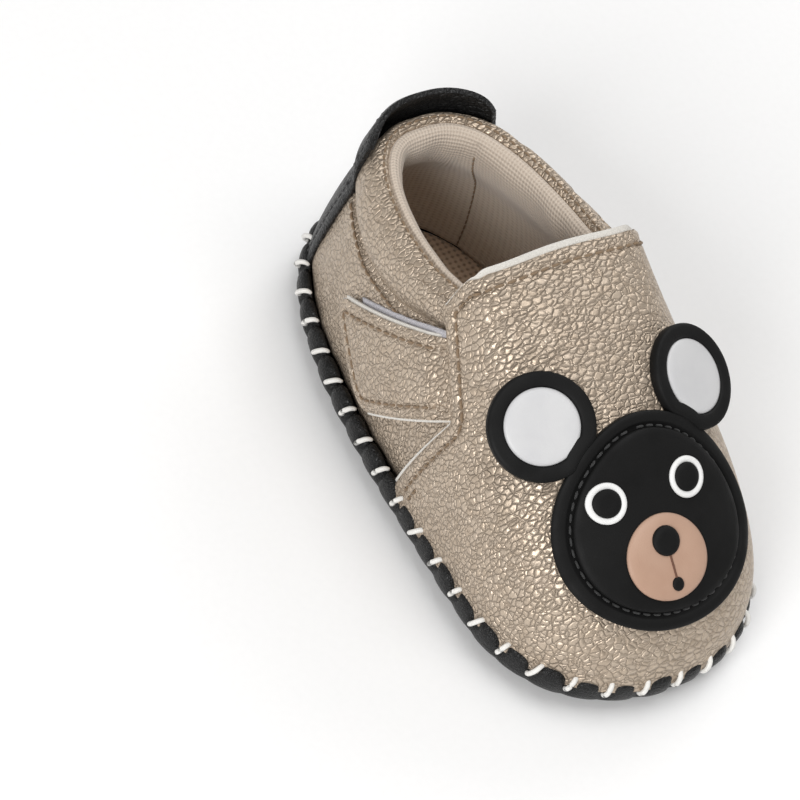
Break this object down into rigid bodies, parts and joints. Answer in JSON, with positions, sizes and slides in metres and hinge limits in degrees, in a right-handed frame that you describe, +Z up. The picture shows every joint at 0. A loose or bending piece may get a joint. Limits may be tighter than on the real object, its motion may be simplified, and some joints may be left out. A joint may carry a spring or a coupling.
{
  "type": "baby bootie",
  "caption": "Soft baby bootie with a padded collar, lift-up tongue flap, two side straps, whip-stitched soft sole, heel pull tab and a bear-face rubber applique on the vamp.",
  "frame": {"origin": "centre of the sole's footprint, on the surface the bootie stands on", "axes": "+X towards the toe, +Y towards the wearer's left, +Z up"},
  "size_m": [0.1273, 0.0658, 0.0579],
  "materials": {
    "gold_leather": "pebbled metallic champagne",
    "black_leather": "pebbled satin",
    "sole_leather": "smooth satin",
    "cream_mesh": "pique mesh",
    "footbed_mesh": "pique mesh",
    "foam": "foam edge",
    "hook_tape": "fuzzy tape",
    "board": "fibre board",
    "sole_thread": "waxed thread",
    "black_rubber": "matte",
    "white_rubber": "satin",
    "pink_rubber": "matte"
  },
  "bodies": {
    "root": {"outsole": "sole_leather", "whip_stitches": "sole_thread", "insole_board": "board", "footbed": "footbed_mesh", "quarter_left": "gold_leather", "quarter_right": "gold_leather", "quarter_lining_left": "cream_mesh", "quarter_lining_right": "cream_mesh", "heel_stiffener": "board", "collar_cover": "gold_leather", "collar_foam_left": "foam", "collar_foam_right": "foam", "collar_lining": "cream_mesh", "heel_patch": "black_leather", "vamp": "gold_leather", "vamp_lining": "cream_mesh", "loop_patch_left": "hook_tape", "loop_patch_right": "hook_tape", "bear_base": "black_rubber", "bear_face": "black_rubber", "bear_snout": "pink_rubber", "bear_nose": "black_rubber", "bear_mouth": "black_rubber", "bear_eye_ring_left": "white_rubber", "bear_eye_ring_right": "white_rubber", "bear_pupil_left": "black_rubber", "bear_pupil_right": "black_rubber", "bear_ear_left": "black_rubber", "bear_ear_right": "black_rubber", "bear_ear_insert_left": "white_rubber", "bear_ear_insert_right": "white_rubber"},
    "tongue": {"tongue_leather": "gold_leather", "tongue_foam": "foam", "tongue_lining": "cream_mesh"},
    "strap_left": {"strap_left": "gold_leather", "strap_hook_left": "hook_tape"},
    "strap_right": {"strap_right": "gold_leather", "strap_hook_right": "hook_tape"},
    "heel_tab": {"heel_tab": "black_leather"}
  },
  "joints": [
    {"name": "tongue_lift", "type": "hinge", "parent": "root", "child": "tongue", "pos_m": [0.008, 0, 0.055], "axis": [0, 1, 0], "range_deg": [0, 50]},
    {"name": "strap_right_open", "type": "hinge", "parent": "tongue", "child": "strap_right", "pos_m": [-0.0052, -0.0244, 0.0412], "axis": [-0.7666, 0.1862, 0.6145], "range_deg": [0, 90]},
    {"name": "strap_left_open", "type": "hinge", "parent": "tongue", "child": "strap_left", "pos_m": [-0.0052, 0.0244, 0.0412], "axis": [0.7666, 0.1862, -0.6145], "range_deg": [0, 90]},
    {"name": "heel_tab_pull", "type": "hinge", "parent": "root", "child": "heel_tab", "pos_m": [-0.058, 0, 0.0346], "axis": [0, -1, 0], "range_deg": [0, 35]}
  ]
}
